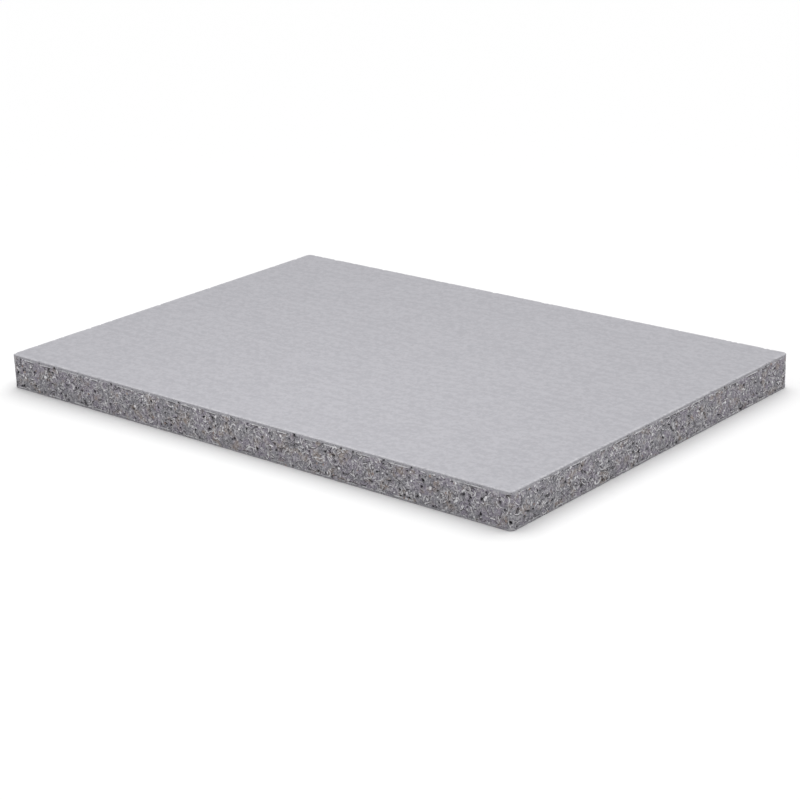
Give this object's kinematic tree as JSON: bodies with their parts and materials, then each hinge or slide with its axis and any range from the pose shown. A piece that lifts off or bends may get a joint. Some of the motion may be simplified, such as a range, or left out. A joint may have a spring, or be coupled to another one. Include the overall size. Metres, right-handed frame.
{
  "type": "magnesium oxide sheathing board",
  "caption": "Flat rectangular sheathing board piece with a smooth light grey face, lightly eased arrises, small rounded upright corners and rough sawn edges that show a speckled core.",
  "frame": {"origin": "middle of the back face, at the foot of the board's box", "axes": "+X along the length, +Y across the width, +Z out of the smooth front face"},
  "size_m": [0.216, 0.152, 0.012],
  "materials": {
    "board": "matt, smooth cast face and rough sawn edges"
  },
  "bodies": {
    "root": {"board": "board"}
  },
  "joints": []
}
